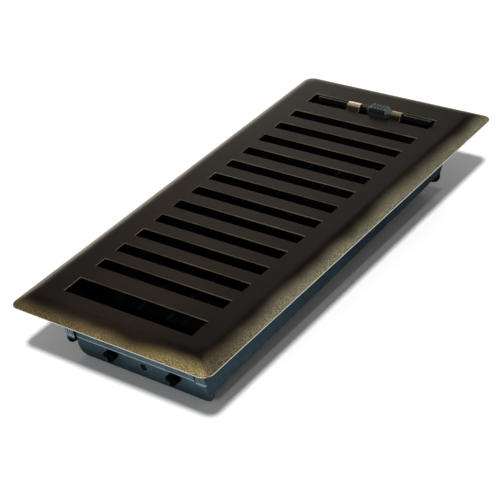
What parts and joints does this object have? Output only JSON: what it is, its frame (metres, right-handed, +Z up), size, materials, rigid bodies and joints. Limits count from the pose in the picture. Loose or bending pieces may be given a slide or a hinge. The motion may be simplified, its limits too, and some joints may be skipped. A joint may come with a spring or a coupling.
{
  "type": "floor register",
  "caption": "Stamped steel floor register with slotted bevelled face, galvanised damper box and long damper blades on a thumb roller.",
  "frame": {"origin": "middle of the face plate in plan, on the plane of its rim, which is the floor", "axes": "+Y along the length towards the thumb roller, +X across to the right when seen from the other end, +Z up out of the floor"},
  "size_m": [0.1396, 0.2922, 0.0518],
  "materials": {
    "face_bronze": "dark bronze satin lacquer with a brushed gold edge",
    "galvanised": "galvanised sheet, satin",
    "blade_sheet": "galvanised sheet, satin",
    "roller_black": "knurled, satin",
    "shaft_black": "satin gloss",
    "cap_black": "moulded",
    "link_white": "moulded",
    "rivet_steel": "bright"
  },
  "bodies": {
    "register": {"face_plate": "face_bronze", "side_wall_left": "galvanised", "side_wall_right": "galvanised", "end_plate_near": "galvanised", "end_plate_far": "galvanised", "control_bracket": "galvanised", "guide_rivets": "rivet_steel"},
    "control": {"thumb_roller": "roller_black", "control_shaft": "shaft_black"},
    "link": {"cross_link": "link_white"},
    "damper_left": {"blade_left": "blade_sheet", "near_cap_left": "cap_black", "far_cap_left": "cap_black", "crank_left": "cap_black", "washer_left": "rivet_steel"},
    "damper_right": {"blade_right": "blade_sheet", "near_cap_right": "cap_black", "far_cap_right": "cap_black", "crank_right": "cap_black", "washer_right": "rivet_steel"}
  },
  "joints": [
    {"name": "control_roll", "type": "hinge", "parent": "register", "child": "control", "pos_m": [0.004, 0.1145, 0.0055], "axis": [1, 0, 0], "range_deg": [0, 36]},
    {"name": "link_slide", "type": "slide", "parent": "register", "child": "link", "axis": [1, 0, 0], "range_m": [0, 0.01071]},
    {"name": "blade_left_turn", "type": "hinge", "parent": "register", "child": "damper_left", "pos_m": [-0.0225, 0, -0.033], "axis": [0, 1, 0], "range_deg": [0, 84]},
    {"name": "blade_right_turn", "type": "hinge", "parent": "register", "child": "damper_right", "pos_m": [0.0225, 0, -0.033], "axis": [0, 1, 0], "range_deg": [0, 84]}
  ],
  "couplings": [
    {"joint": "link_slide", "follows": "control_roll", "m_per_rad": 0.017039},
    {"joint": "blade_left_turn", "follows": "control_roll", "ratio": 2.3333},
    {"joint": "blade_right_turn", "follows": "control_roll", "ratio": 2.3333}
  ]
}
